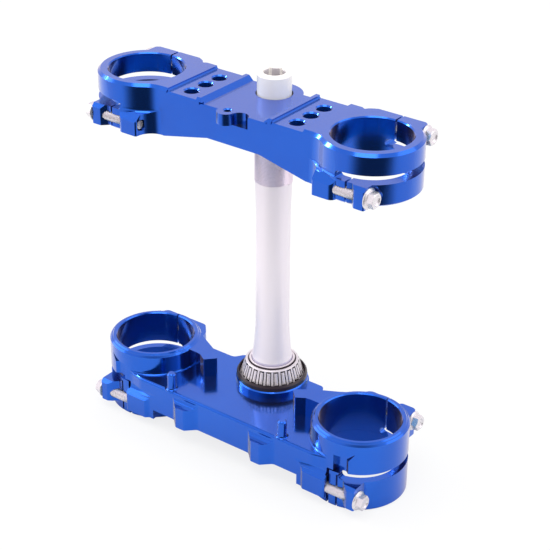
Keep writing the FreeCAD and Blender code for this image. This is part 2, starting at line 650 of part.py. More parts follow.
def steering_stem():
    edge = 1.0
    taper_top = 190.0
    taper_foot = 167.0
    flare_top = 77.0
    flare_foot = 51.0
    body = turned([
        (0, 0), (FOOT_FLANGE_R - 0.5, 0), (FOOT_FLANGE_R, 0.5), (FOOT_FLANGE_R, FOOT_FLANGE_THICK),
        (PRESS_R, FOOT_FLANGE_THICK), (PRESS_R, BOSS_TOP), (SEAT_R, BOSS_TOP), (SEAT_R, SEAT_TOP),
        (STEM_FOOT_R, flare_foot), (STEM_FOOT_R - 0.75, flare_foot + 7),
        (STEM_MID_R + 0.35, flare_top - 9), (STEM_MID_R, flare_top),
        (STEM_MID_R, taper_foot), (STEM_TOP_R, taper_top), (STEM_TOP_R, STEM_TOP - edge),
        (STEM_TOP_R - edge, STEM_TOP), (0, STEM_TOP),
    ])
    hole = cylinder(STEM_HOLE_R, -1, STEM_TOP + 1)
    thread_z = STEM_TOP - STEM_BOLT_SHANK - 4
    thread = cylinder(STEM_BOLT_R + THREAD_CLEARANCE, thread_z, STEM_TOP + 1)
    return body.cut([hole, thread])


def stem_bolt():
    bevel = 1.5
    top = POCKET_Z + STEM_BOLT_HEAD_TALL
    r = STEM_BOLT_HEAD_R
    shank_z = POCKET_Z - TOP_WEB_THICK - STEM_BOLT_SHANK
    body = turned([(0, shank_z), (STEM_BOLT_R - 1.5, shank_z), (STEM_BOLT_R, shank_z + 1.5),
                   (STEM_BOLT_R, POCKET_Z), (r, POCKET_Z), (r, top - bevel), (r - bevel, top), (0, top)])
    socket = hexagon(STEM_SOCKET_AF, top - STEM_SOCKET_DEEP, top + 1)
    mouth = Part.makeCone(STEM_SOCKET_AF / 2, STEM_SOCKET_AF / 2 + 1.8, 1.8, V(0, 0, top - 0.9))
    return body.cut([socket, mouth])


# The rollers, races and cage share one apex on the steering axis

MID_Z = BOSS_TOP + ROLLER_MID
APEX_Z = MID_Z + ENVELOPE_R / math.tan(math.radians(CONTACT_ANGLE))
AXIS_ANGLE = CONTACT_ANGLE - ROLLER_HALF_ANGLE
INNER_ANGLE = AXIS_ANGLE - ROLLER_HALF_ANGLE
AXIS_LENGTH = (APEX_Z - MID_Z) / math.cos(math.radians(AXIS_ANGLE))


def cone_r(angle, z):
    return (APEX_Z - z) * math.tan(math.radians(angle))


def roller_shape(grow, end_grow):
    """A taper roller in place at angle 0, grown for clearance when it is used as a cutter."""
    near = AXIS_LENGTH - ROLLER_LENGTH / 2 - end_grow
    far = AXIS_LENGTH + ROLLER_LENGTH / 2 + end_grow
    slope = math.tan(math.radians(ROLLER_HALF_ANGLE))
    top_r = near * slope - ROLLER_GAP + grow
    low_r = far * slope - ROLLER_GAP + grow
    lean = math.radians(AXIS_ANGLE)
    way = V(math.sin(lean), 0, -math.cos(lean))
    start = V(0, 0, APEX_Z) + way * near
    return Part.makeCone(top_r, low_r, far - near, start, way)


def roller(index):
    shape = roller_shape(0, 0)
    shape.rotate(V(0, 0, 0), V(0, 0, 1), index * 360.0 / ROLLERS)
    return shape


def roller_ends():
    """Heights where the rollers' rib-side ends meet the inner raceway."""
    lean = math.radians(AXIS_ANGLE)
    top = APEX_Z - (AXIS_LENGTH - ROLLER_LENGTH / 2) * math.cos(lean)
    low = APEX_Z - (AXIS_LENGTH + ROLLER_LENGTH / 2) * math.cos(lean)
    side = math.sin(lean) * AXIS_LENGTH * math.tan(math.radians(ROLLER_HALF_ANGLE))
    return top - side, low - side


def inner_race():
    top_z, low_z = roller_ends()
    top_z += ROLLER_END_GAP
    low_z -= ROLLER_END_GAP
    race_top = BOSS_TOP + BEARING_TALL
    lean = math.tan(math.radians(AXIS_ANGLE))
    top_r = cone_r(INNER_ANGLE, top_z) - ROLLER_GAP
    low_r = cone_r(INNER_ANGLE, low_z) - ROLLER_GAP
    big_rib_r = 19.4
    rib_low_z = low_z + (big_rib_r - low_r) * lean
    rib_top_z = top_z + (RIB_TOP_R - top_r) * lean
    bore = SEAT_R + PRESS_GAP
    return turned([
        (bore, BOSS_TOP), (big_rib_r, BOSS_TOP), (big_rib_r, rib_low_z), (low_r, low_z),
        (top_r, top_z), (RIB_TOP_R, rib_top_z), (RIB_TOP_R, race_top - 0.5),
        (RIB_TOP_R - 0.5, race_top), (bore + 0.5, race_top), (bore, race_top - 0.5),
    ])


def bearing_cage():
    high = MID_Z + 6.0
    low = MID_Z - 5.9

    def skin(z, depth):
        return cone_r(CONTACT_ANGLE, z) - CAGE_INSET - depth

    thick = CAGE_THICK / math.cos(math.radians(CONTACT_ANGLE))
    body = turned([
        (skin(low, thick), low), (skin(low, 0) + 0.3, low), (skin(low + 1, 0), low + 1),
        (skin(high - 0.5, 0), high - 0.5), (skin(high, 0) - 0.4, high), (skin(high, 0) - 1.9, high),
        (skin(high, 0) - 1.9, high - 0.7), (skin(high - 0.7, thick), high - 0.7),
    ])
    cutters = []
    for index in range(ROLLERS):
        cutter = roller_shape(CAGE_POCKET_GAP, CAGE_POCKET_GAP)
        cutter.rotate(V(0, 0, 0), V(0, 0, 1), index * 360.0 / ROLLERS)
        cutters.append(cutter)
    return body.cut(cutters)


def bearing_seal():
    wall = SEAL_R - SEAL_WALL
    top = BOSS_TOP + SEAL_TALL
    base = 0.9
    return turned([
        (20.0, BOSS_TOP), (SEAL_R - 0.4, BOSS_TOP), (SEAL_R, BOSS_TOP + 0.4), (SEAL_R, top - 1.8),
        (wall + 0.5, top), (wall, top - 0.4), (wall, BOSS_TOP + base), (20.0, BOSS_TOP + base),
    ])


# Every piece goes out as its own file

save("top_clamp", top_clamp())
save("bottom_clamp", bottom_clamp())
save("steering_stem", steering_stem())
save("stem_bolt", stem_bolt())
save("bearing_inner_race", inner_race())
save("bearing_cage", bearing_cage())
save("bearing_seal", bearing_seal())
for number in range(ROLLERS):
    save("bearing_roller_%02d" % (number + 1), roller(number))
for place, pinch in PINCHES.items():
    clamp, end = place.split("_")
    bolt_shape = pinch_bolt(pinch)
    save("%s_right_%s_bolt" % (clamp, end), bolt_shape)
    save("%s_left_%s_bolt" % (clamp, end), flipped(bolt_shape))
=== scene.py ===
# %% [markdown]
# Motorcycle triple clamp. Two blue anodised clamps hold the fork legs of a motorcycle. A bright steering
# stem joins them and carries the lower steering bearing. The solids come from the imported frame, in metres.
# This lesson lights them as in a product photograph, gives every piece its finish, and adds the threads and
# the finely shaped bolts that a frame leaves out.

# %% Load the frame
import bmesh
import bpy
import math
from mathutils import Matrix, Vector


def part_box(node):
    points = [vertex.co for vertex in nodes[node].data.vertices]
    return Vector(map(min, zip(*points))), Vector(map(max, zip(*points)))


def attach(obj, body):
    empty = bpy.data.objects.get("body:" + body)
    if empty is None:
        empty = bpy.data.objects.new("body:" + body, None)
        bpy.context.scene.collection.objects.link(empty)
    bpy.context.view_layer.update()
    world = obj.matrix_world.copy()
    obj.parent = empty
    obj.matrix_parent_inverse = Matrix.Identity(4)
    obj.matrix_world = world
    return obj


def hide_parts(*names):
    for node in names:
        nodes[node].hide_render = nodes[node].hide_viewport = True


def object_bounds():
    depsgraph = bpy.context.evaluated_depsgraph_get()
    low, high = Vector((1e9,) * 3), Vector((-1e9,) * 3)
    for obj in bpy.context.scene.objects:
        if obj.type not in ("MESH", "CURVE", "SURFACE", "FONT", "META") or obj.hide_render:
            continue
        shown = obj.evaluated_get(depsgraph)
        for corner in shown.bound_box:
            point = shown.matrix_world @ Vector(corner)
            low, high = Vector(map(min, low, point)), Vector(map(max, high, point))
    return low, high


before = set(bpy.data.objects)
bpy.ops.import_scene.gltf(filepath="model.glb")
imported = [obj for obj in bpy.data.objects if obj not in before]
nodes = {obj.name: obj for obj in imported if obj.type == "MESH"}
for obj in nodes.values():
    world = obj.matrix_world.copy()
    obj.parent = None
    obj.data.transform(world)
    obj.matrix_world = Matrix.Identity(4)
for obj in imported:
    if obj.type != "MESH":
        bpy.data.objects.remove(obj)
cad_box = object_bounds()
MM = 0.001

# %% [markdown]
# The camera. The photograph was taken with a long lens from the right front, looking down on the part. A
# camera can be placed by eye, but here its angle, distance and lens were worked out from the four fork rings
# and the stem, whose real sizes are known, so that each edge lands where the photograph has it.

# %% Place the camera
CAMERA_AZIMUTH = math.radians(36.58)
CAMERA_ELEVATION = math.radians(28.786)
CAMERA_ROLL = math.radians(0.545)
CAMERA_DISTANCE = 1.11827
LENS = 100.98
SENSOR_WIDTH = 36
CLIP_START = 0.05
AIM_RIGHT = 1.595 * MM
AIM_HEIGHT = 114.978 * MM

toward = Vector((math.sin(CAMERA_AZIMUTH) * math.cos(CAMERA_ELEVATION),
                 -math.cos(CAMERA_AZIMUTH) * math.cos(CAMERA_ELEVATION),
                 math.sin(CAMERA_ELEVATION)))
level_right = Vector((math.cos(CAMERA_AZIMUTH), math.sin(CAMERA_AZIMUTH), 0))
level_up = toward.cross(level_right)
cam_right = level_right * math.cos(CAMERA_ROLL) + level_up * math.sin(CAMERA_ROLL)
cam_up = level_up * math.cos(CAMERA_ROLL) - level_right * math.sin(CAMERA_ROLL)
aim = level_right * AIM_RIGHT + Vector((0, 0, AIM_HEIGHT))

camera_data = bpy.data.cameras.new("photo_camera")
camera_data.lens = LENS
camera_data.sensor_width = SENSOR_WIDTH
camera_data.clip_start = CLIP_START
camera = bpy.data.objects.new("photo_camera", camera_data)
bpy.context.scene.collection.objects.link(camera)
turn = Matrix((cam_right, cam_up, toward)).transposed().to_4x4()
camera.matrix_world = Matrix.Translation(aim + toward * CAMERA_DISTANCE) @ turn
bpy.context.scene.camera = camera
print("camera at", [round(v, 3) for v in camera.matrix_world.translation])

# %% [markdown]
# The studio. Polished metal shows its surroundings more than its own colour, so the surroundings are the
# real lighting here. The photograph was made in a white room with big soft boxes, and the camera stood on
# its darker side: walls that face that side turn navy, while the tops and ends stay bright. A modelled room
# with walls could do it, but a world shader makes the same room from a few numbers. It is white, with one
# soft dark side that is fixed in the room and stays there when the camera moves.

# %% Helpers for nodes
def add_node(tree, kind, **values):
    """Adds a node and sets its properties, and its sockets by name where a name has a capital letter."""
    node = tree.nodes.new(kind)
    for key, value in values.items():
        if key[0].isupper():
            node.inputs[key.replace("_", " ")].default_value = value
        else:
            setattr(node, key, value)
    return node


def wire(tree, source, target):
    tree.links.new(source, target)


def math_node(tree, operation, *feeds):
    """A Math node fed by outputs and plain numbers, in the order of its sockets; gives its output."""
    node = add_node(tree, "ShaderNodeMath", operation=operation)
    for socket, feed in zip(node.inputs, feeds):
        if isinstance(feed, (int, float)):
            socket.default_value = feed
        else:
            wire(tree, feed, socket)
    return node.outputs[0]


def map_range(tree, value, limits, **values):
    """A Map Range node that reads value between two limits; gives the node."""
    node = add_node(tree, "ShaderNodeMapRange", From_Min=limits[0], From_Max=limits[1], **values)
    wire(tree, value, node.inputs["Value"])
    return node


def mix_shaders(tree, share, first, second):
    """The first shader where share is 0, the second where it is 1."""
    mixer = add_node(tree, "ShaderNodeMixShader")
    for socket, feed in zip(mixer.inputs, (share, first, second)):
        wire(tree, feed, socket)
    return mixer.outputs[0]


print("helpers:", [helper.__name__ for helper in (add_node, wire, math_node, map_range, mix_shaders)])

# %% Build the room's light
ROOM_DARK_SIDE = Vector((math.sin(CAMERA_AZIMUTH), -math.cos(CAMERA_AZIMUTH), -0.05)).normalized()
ROOM_DARK_EDGE = (0.48, 0.88)
ROOM_DARK = 0.06
ROOM_BRIGHT = 0.86
ROOM_SOFT_LIGHT = 0.98
ROOM_TINT = (1.0, 0.93, 0.99, 1)
WHITE = (1, 1, 1, 1)

world = bpy.data.worlds.new("studio_room")
bpy.context.scene.world = world
world.use_nodes = True
room = world.node_tree
room.nodes.clear()
way = add_node(room, "ShaderNodeTexCoord")
facing = add_node(room, "ShaderNodeVectorMath", operation="DOT_PRODUCT")
facing.inputs[1].default_value = ROOM_DARK_SIDE
wire(room, way.outputs["Generated"], facing.inputs[0])
room_shade = map_range(room, facing.outputs["Value"], ROOM_DARK_EDGE, interpolation_type="SMOOTHSTEP",
                       To_Min=ROOM_BRIGHT, To_Max=ROOM_DARK)
rays = add_node(room, "ShaderNodeLightPath")
mirror_sky = add_node(room, "ShaderNodeBackground", Color=ROOM_TINT)
wire(room, room_shade.outputs["Result"], mirror_sky.inputs["Strength"])
soft_sky = add_node(room, "ShaderNodeBackground", Color=WHITE, Strength=ROOM_SOFT_LIGHT)
white_sky = add_node(room, "ShaderNodeBackground", Color=WHITE, Strength=1.0)
lit = mix_shaders(room, rays.outputs["Is Glossy Ray"], soft_sky.outputs[0], mirror_sky.outputs[0])
seen = mix_shaders(room, rays.outputs["Is Camera Ray"], lit, white_sky.outputs[0])
room_out = add_node(room, "ShaderNodeOutputWorld")
wire(room, seen, room_out.inputs["Surface"])
print("room: bright", ROOM_BRIGHT, "dark side", ROOM_DARK)

# %% [markdown]
# The lamps. Three large soft boxes, left, right and above, light the part evenly and low enough that the pale
# stem doesn't burn out. A fourth, small one on the left has the one task of the little white glints that the
# photograph shows on rounded edges. One large lamp would do for the light, but then nothing would glint.

# %% Hang the soft boxes
SOFT_BOXES = {
    "left_box": dict(at=(-1.9, -0.8, 0.95), size=1.5, watts=9.0),
    "right_box": dict(at=(1.6, 0.9, 1.3), size=1.6, watts=6.0),
    "top_box": dict(at=(0.2, -0.6, 2.0), size=1.1, watts=7.0),
    "spark_box": dict(at=(-1.60, -0.20, 1.25), size=0.26, watts=4.5),
}
LAMP_AIM = Vector((0, 0, 0.1))


def hang_soft_box(name, at, size, watts):
    lamp = bpy.data.lights.new(name, "AREA")
    lamp.shape = "SQUARE"
    lamp.size = size
    lamp.energy = watts
    holder = bpy.data.objects.new(name, lamp)
    bpy.context.scene.collection.objects.link(holder)
    place = Vector(at)
    look = (LAMP_AIM - place).to_track_quat("-Z", "Y")
    holder.matrix_world = Matrix.Translation(place) @ look.to_matrix().to_4x4()


for box_name, box_values in SOFT_BOXES.items():
    hang_soft_box(box_name, **box_values)
print("soft boxes:", sorted(SOFT_BOXES))

# %% [markdown]
# The floor. It is a plain white table that ends a little in front of the part, and the lower rings stand on
# it. A brighter lamp could turn it white, but would burn out the part as well. So the table glows instead,
# and mostly for the camera alone: that keeps it as white as in the photograph, and the rest of its colour is
# real, so that a soft shadow stays. In mirrors it is greyer and hardly glows. Under the rings they find its
# real shade, and that keeps the insides of the bores deep blue.

# %% Lay the floor
FLOOR_RADIUS = 0.85
FLOOR_FRONT = 0.30
FLOOR_SEGMENTS = 96
FLOOR_GLOW = 0.80
FLOOR_MIRROR_GLOW = 0.04
FLOOR_GREY = 0.72
FLOOR_WHITE = 0.92

floor_z = cad_box[0][2]
floor_mesh = bpy.data.meshes.new("table_top")
floor_form = bmesh.new()
bmesh.ops.create_circle(floor_form, cap_ends=True, segments=FLOOR_SEGMENTS, radius=FLOOR_RADIUS)
away = Vector((-math.sin(CAMERA_AZIMUTH), math.cos(CAMERA_AZIMUTH), 0)) * (FLOOR_RADIUS - FLOOR_FRONT)
bmesh.ops.translate(floor_form, vec=away + Vector((0, 0, floor_z)), verts=floor_form.verts)
floor_form.to_mesh(floor_mesh)
floor_form.free()
table = bpy.data.objects.new("table_top", floor_mesh)
bpy.context.scene.collection.objects.link(table)
print("floor at", round(floor_z, 4))

# %% Paint the floor
white = bpy.data.materials.new("white_table")
white.use_nodes = True
tree = white.node_tree
tree.nodes.clear()
path = add_node(tree, "ShaderNodeLightPath")
matt = add_node(tree, "ShaderNodeBsdfDiffuse")
whiteness = math_node(tree, "MULTIPLY_ADD", path.outputs["Is Camera Ray"], FLOOR_WHITE - FLOOR_GREY,
                      FLOOR_GREY)
wire(tree, whiteness, matt.inputs["Color"])
glow = add_node(tree, "ShaderNodeEmission", Color=WHITE, Strength=1.0)
for_mirrors = math_node(tree, "MULTIPLY", path.outputs["Is Glossy Ray"], FLOOR_MIRROR_GLOW)
glow_share = math_node(tree, "MULTIPLY_ADD", path.outputs["Is Camera Ray"], FLOOR_GLOW, for_mirrors)
table_out = add_node(tree, "ShaderNodeOutputMaterial")
wire(tree, mix_shaders(tree, glow_share, matt.outputs[0], glow.outputs[0]), table_out.inputs["Surface"])
table.data.materials.append(white)
print("floor glow:", FLOOR_GLOW, "in mirrors", FLOOR_MIRROR_GLOW)

# %% [markdown]
# The grain. Anodised, turned and plated metal all show a fine grain: tiny pits that soften the gloss, and
# slow clouds in the colour. An image texture could carry it, but noise nodes need no picture and stay sharp
# at any distance. One node group makes both, and each finish gives it its own sizes.

# %% Node group for grain
def new_group(name, inputs, outputs):
    """A shader node group with named sockets: (name, socket kind, value) and (name, socket kind)."""
    group = bpy.data.node_groups.new(name, "ShaderNodeTree")
    for label, kind, value in inputs:
        socket = group.interface.new_socket(name=label, in_out="INPUT", socket_type=kind)
        if value is not None:
            socket.default_value = value
    for label, kind in outputs:
        group.interface.new_socket(name=label, in_out="OUTPUT", socket_type=kind)
    return group, group.nodes.new("NodeGroupInput"), group.nodes.new("NodeGroupOutput")


GREY = (0.5, 0.5, 0.5, 1)
CLOUD_EDGE = (0.35, 0.65)
PIT_EDGE = (0.3, 0.7)

grain_group, g_in, g_out = new_group(
    "metal_grain",
    [("Colour", "NodeSocketColor", GREY), ("Cloud colour", "NodeSocketColor", GREY),
     ("Cloud amount", "NodeSocketFloat", 0.3), ("Cloud scale", "NodeSocketFloat", 30.0),
     ("Grain scale", "NodeSocketFloat", 4000.0), ("Grain depth", "NodeSocketFloat", 0.00001),
     ("Smooth", "NodeSocketFloat", 0.2), ("Rough", "NodeSocketFloat", 0.3)],
    [("Colour", "NodeSocketColor"), ("Roughness", "NodeSocketFloat"), ("Normal", "NodeSocketVector")])
g_way = add_node(grain_group, "ShaderNodeTexCoord")
clouds = add_node(grain_group, "ShaderNodeTexNoise", Detail=3.0, Roughness=0.5)
wire(grain_group, g_way.outputs["Object"], clouds.inputs["Vector"])
wire(grain_group, g_in.outputs["Cloud scale"], clouds.inputs["Scale"])
cloud_step = map_range(grain_group, clouds.outputs["Fac"], CLOUD_EDGE, interpolation_type="SMOOTHSTEP")
cloud_part = math_node(grain_group, "MULTIPLY", cloud_step.outputs["Result"], g_in.outputs["Cloud amount"])
tint = add_node(grain_group, "ShaderNodeMix", data_type="RGBA")
wire(grain_group, cloud_part, tint.inputs[0])
wire(grain_group, g_in.outputs["Colour"], tint.inputs[6])
wire(grain_group, g_in.outputs["Cloud colour"], tint.inputs[7])
wire(grain_group, tint.outputs[2], g_out.inputs["Colour"])
pits = add_node(grain_group, "ShaderNodeTexNoise", Detail=4.0, Roughness=0.6)
wire(grain_group, g_way.outputs["Object"], pits.inputs["Vector"])
wire(grain_group, g_in.outputs["Grain scale"], pits.inputs["Scale"])
gloss = map_range(grain_group, pits.outputs["Fac"], PIT_EDGE)
wire(grain_group, g_in.outputs["Smooth"], gloss.inputs["To Min"])
wire(grain_group, g_in.outputs["Rough"], gloss.inputs["To Max"])
wire(grain_group, gloss.outputs["Result"], g_out.inputs["Roughness"])
relief = add_node(grain_group, "ShaderNodeBump", Strength=1.0)
wire(grain_group, pits.outputs["Fac"], relief.inputs["Height"])
wire(grain_group, g_in.outputs["Grain depth"], relief.inputs["Distance"])
wire(grain_group, relief.outputs["Normal"], g_out.inputs["Normal"])
print("group:", grain_group.name)

# %% [markdown]
# Rings round an axis. A boring bar or a lathe tool leaves fine rings on the metal. They are far too many to
# model, so a second group draws them as a bump: noise that changes with height alone, between two radii from
# an upright axis. Bores and holes are the same on the left and the right, so the group folds X over, and one
# centre serves both sides. Its mask marks the same place for other uses: painted shades in sockets and gaps,
# a painted dark reflection, the wall of a hole.

# %% Node group for tool rings
ring_group, r_in, r_out = new_group(
    "tool_rings",
    [("Centre", "NodeSocketVector", (0, 0, 0)), ("Inner radius", "NodeSocketFloat", 0.0),
     ("Outer radius", "NodeSocketFloat", 1.0), ("Pitch", "NodeSocketFloat", 0.0004),
     ("Depth", "NodeSocketFloat", 0.00001), ("Normal", "NodeSocketVector", None)],
    [("Normal", "NodeSocketVector"), ("Mask", "NodeSocketFloat")])
r_way = add_node(ring_group, "ShaderNodeTexCoord")
r_axes = add_node(ring_group, "ShaderNodeSeparateXYZ")
wire(ring_group, r_way.outputs["Object"], r_axes.inputs[0])
spot = add_node(ring_group, "ShaderNodeCombineXYZ")
wire(ring_group, math_node(ring_group, "ABSOLUTE", r_axes.outputs["X"]), spot.inputs["X"])
wire(ring_group, r_axes.outputs["Y"], spot.inputs["Y"])
from_centre = add_node(ring_group, "ShaderNodeVectorMath", operation="SUBTRACT")
wire(ring_group, spot.outputs[0], from_centre.inputs[0])
wire(ring_group, r_in.outputs["Centre"], from_centre.inputs[1])
reach = add_node(ring_group, "ShaderNodeVectorMath", operation="LENGTH")
wire(ring_group, from_centre.outputs[0], reach.inputs[0])
beyond = math_node(ring_group, "GREATER_THAN", reach.outputs["Value"], r_in.outputs["Inner radius"])
within = math_node(ring_group, "LESS_THAN", reach.outputs["Value"], r_in.outputs["Outer radius"])
ring_mask = math_node(ring_group, "MULTIPLY", beyond, within)
wire(ring_group, ring_mask, r_out.inputs["Mask"])
line_noise = add_node(ring_group, "ShaderNodeTexNoise", noise_dimensions="1D", Scale=1.0, Detail=2.0)
steps_up = math_node(ring_group, "DIVIDE", r_axes.outputs["Z"], r_in.outputs["Pitch"])
wire(ring_group, steps_up, line_noise.inputs["W"])
ring_relief = add_node(ring_group, "ShaderNodeBump", Strength=1.0)
wire(ring_group, math_node(ring_group, "MULTIPLY", line_noise.outputs["Fac"], ring_mask),
     ring_relief.inputs["Height"])
wire(ring_group, r_in.outputs["Depth"], ring_relief.inputs["Distance"])
wire(ring_group, r_in.outputs["Normal"], ring_relief.inputs["Normal"])
wire(ring_group, ring_relief.outputs["Normal"], r_out.inputs["Normal"])
print("group:", ring_group.name)

# %% [markdown]
# The bearing's pockets. Round every roller there is a gap in shade, and the cage has a shaded edge there. The
# gap is real in the solids but only a tenth of a millimetre wide, too fine to see, so a third group paints
# its shade on. A wave that runs once round the stem for every roller is high over a roller and low over a bar
# of the cage. A narrow box round each roller is taken from a wider one, and the frame that is left is the
# painted dark edge.

# %% Node group for the painted shade at the cage's pocket edges
pocket_group, p_in, p_out = new_group(
    "pocket_painted_shade",
    [("Count", "NodeSocketFloat", 24.0), ("Middle", "NodeSocketFloat", 0.0),
     ("Outer limit", "NodeSocketFloat", -0.3), ("Outer reach", "NodeSocketFloat", 0.005),
     ("Inner limit", "NodeSocketFloat", 0.3), ("Inner reach", "NodeSocketFloat", 0.004)],
    [("Mask", "NodeSocketFloat")])
p_way = add_node(pocket_group, "ShaderNodeTexCoord")
p_axes = add_node(pocket_group, "ShaderNodeSeparateXYZ")
wire(pocket_group, p_way.outputs["Object"], p_axes.inputs[0])
angle = math_node(pocket_group, "ARCTAN2", p_axes.outputs["Y"], p_axes.outputs["X"])
wave = math_node(pocket_group, "COSINE", math_node(pocket_group, "MULTIPLY", angle, p_in.outputs["Count"]))
height = math_node(pocket_group, "SUBTRACT", p_axes.outputs["Z"], p_in.outputs["Middle"])
height_off = math_node(pocket_group, "ABSOLUTE", height)
pocket_boxes = []
for kind in ("Outer", "Inner"):
    near_roller = math_node(pocket_group, "GREATER_THAN", wave, p_in.outputs[kind + " limit"])
    at_height = math_node(pocket_group, "LESS_THAN", height_off, p_in.outputs[kind + " reach"])
    pocket_boxes.append(math_node(pocket_group, "MULTIPLY", near_roller, at_height))
wire(pocket_group, math_node(pocket_group, "SUBTRACT", *pocket_boxes), p_out.inputs["Mask"])
print("group:", pocket_group.name)

# %% [markdown]
# Making a finish. Each finish is one Principled shader with its own grain. A separate tree could be wired by
# hand for each, but they share nearly everything, so one function builds them all and takes what differs:
# colours, gloss, painted shades in fixed places, dull places and tool rings.

# %% Helpers for finishes
COAT_ROUGH = 0.10
COAT_IOR = 1.42
SHEEN_ROUGH = 0.3
SHEEN_TINT = (1.0, 0.74, 0.78, 1)
# POCKET_SHADE is painted shade in the gaps round the bearing's rollers and at the cage's pocket edges
POCKET_SHADE = (0.010, 0.007, 0.010)
DULL_METALLIC = 0.85


def use_group(tree, group, **values):
    node = tree.nodes.new("ShaderNodeGroup")
    node.node_tree = group
    for key, value in values.items():
        node.inputs[key.replace("_", " ")].default_value = value
    return node


def mix_in(tree, share, colour_out, colour):
    """Mixes a fixed colour into a colour output, by the share that another output gives."""
    mixer = add_node(tree, "ShaderNodeMix", data_type="RGBA")
    wire(tree, share, mixer.inputs[0])
    wire(tree, colour_out, mixer.inputs[6])
    mixer.inputs[7].default_value = (*colour, 1)
    return mixer.outputs[2]


def dull_down(tree, shader, places, metallic):
    """Makes the metal less of a mirror in the given places."""
    masks = [use_group(tree, ring_group, **place).outputs["Mask"] for place in places]
    everywhere = masks[0]
    for mask in masks[1:]:
        everywhere = math_node(tree, "MAXIMUM", everywhere, mask)
    share = map_range(tree, everywhere, (0.0, 1.0), To_Min=metallic, To_Max=DULL_METALLIC)
    wire(tree, share.outputs["Result"], shader.inputs["Metallic"])


def make_metal(name, colour, cloud_colour, smooth, rough, metallic=1.0, coat=0.0, sheen=0.0,
               cloud_amount=0.35, cloud_scale=30.0, grain_scale=3500.0, grain_depth=0.000008,
               reflection_shade_colour=None, painted_shades=(), pockets=None, dull=(), rings=()):
    """One finish: clouded colour and grainy gloss, with painted shades, dull places and tool rings where
    given.
    """
    material = bpy.data.materials.new(name)
    material.use_nodes = True
    tree = material.node_tree
    shader = tree.nodes["Principled BSDF"]
    grain = use_group(tree, grain_group, Colour=(*colour, 1), Cloud_colour=(*cloud_colour, 1),
                      Cloud_amount=cloud_amount, Cloud_scale=cloud_scale, Grain_scale=grain_scale,
                      Grain_depth=grain_depth, Smooth=smooth, Rough=rough)
    colour_out = grain.outputs["Colour"]
    # painted shade in reflections: glossy rays see a duller, darker colour, which darkens light going from
    # wall to wall
    if reflection_shade_colour:
        ray = add_node(tree, "ShaderNodeLightPath")
        colour_out = mix_in(tree, ray.outputs["Is Glossy Ray"], colour_out, reflection_shade_colour)
    # painted shades and a painted dark reflection, in fixed places
    for place, shade in painted_shades:
        inside = use_group(tree, ring_group, **place)
        colour_out = mix_in(tree, inside.outputs["Mask"], colour_out, shade)
    if pockets:
        edges = use_group(tree, pocket_group, **pockets)
        # painted shade round each roller
        colour_out = mix_in(tree, edges.outputs["Mask"], colour_out, POCKET_SHADE)
    wire(tree, colour_out, shader.inputs["Base Color"])
    wire(tree, grain.outputs["Roughness"], shader.inputs["Roughness"])
    normal = grain.outputs["Normal"]
    for ring in rings:
        turned = use_group(tree, ring_group, **ring)
        wire(tree, normal, turned.inputs["Normal"])
        normal = turned.outputs["Normal"]
    wire(tree, normal, shader.inputs["Normal"])
    shader.inputs["Metallic"].default_value = metallic
    if dull:
        dull_down(tree, shader, dull, metallic)
    shader.inputs["Coat Weight"].default_value = coat
    shader.inputs["Coat Roughness"].default_value = COAT_ROUGH
    shader.inputs["Coat IOR"].default_value = COAT_IOR
    shader.inputs["Sheen Weight"].default_value = sheen
    shader.inputs["Sheen Roughness"].default_value = SHEEN_ROUGH
    shader.inputs["Sheen Tint"].default_value = SHEEN_TINT
    return material


def round_place(inner, outer, centre=(0, 0, 0)):
    """A place between two radii round an upright axis, all in millimetres."""
    return dict(Centre=[v * MM for v in centre], Inner_radius=inner * MM, Outer_radius=outer * MM)


print("coat:", COAT_IOR, "sheen:", SHEEN_TINT[:3])

# %% [markdown]
# Blue anodised aluminium. It is dyed metal under a clear, hard film of oxide. Blue paint would look flat, so
# the base is metallic with a coat on top, and a little sheen adds the pale lilac that the flat tops show at a
# low angle. In reflections the metal has a duller, darker colour, a painted shade on light that goes from
# wall
# to wall: otherwise every bounce would leave a purer blue, which the photograph doesn't show. The top clamp
# has the same finish with one thing more, since the walls of its handlebar holes are drilled, not milled, and
# mirror less.

# %% Mix the blue
FORK_CENTRE = (95.0, -22.5, 0.0)
BORE_REACH = 30.5
BAR_HOLE_X = 44.4
BAR_HOLES_Y = (-34.5, -19.5, -4.5)
BAR_HOLE_R = 5.2

bore_rings = dict(round_place(0.0, BORE_REACH, FORK_CENTRE), Pitch=0.5 * MM, Depth=0.02 * MM)
bar_holes = [round_place(0.0, BAR_HOLE_R, (BAR_HOLE_X, y, 0)) for y in BAR_HOLES_Y]
# reflection_shade_colour is a painted shade that only reflections see
BLUE_LOOK = dict(colour=(0.003, 0.140, 0.77), cloud_colour=(0.004, 0.112, 0.67), smooth=0.12, rough=0.22,
                 coat=1.0, sheen=0.36, cloud_amount=0.5, cloud_scale=18.0, grain_scale=2500.0,
                 grain_depth=0.000006, rings=[bore_rings], reflection_shade_colour=(0.010, 0.190, 0.42))
blue = make_metal("blue_anodised", **BLUE_LOOK)
blue_drilled = make_metal("blue_anodised_drilled", dull=bar_holes, **BLUE_LOOK)
print("blue:", blue.name, "and", blue_drilled.name)

# %% [markdown]
# Bare aluminium. The stem is turned and then polished to a silky grey, so it is rough and only partly
# metallic: a full mirror would show the dark side of the room as a black stripe. A darker, bluish band on the
# seat above the bearing is a painted dark reflection. The thread's flanks are sharper and mirror more, which
# makes them darker. The stem bolt is brighter, with a painted shade in its socket, which catches more light
# here than it should.

# %% Mix the bare aluminium
# a painted dark reflection: a darker, bluish band on the stem's seat above the bearing
SEAT_REFLECTION_BAND = (14.95, 15.10)
SEAT_PAINTED_REFLECTION = (0.66, 0.62, 0.78)
# painted shade in the stem bolt's socket
SOCKET_R = 7.5
SOCKET_SHADE = (0.60, 0.56, 0.59)

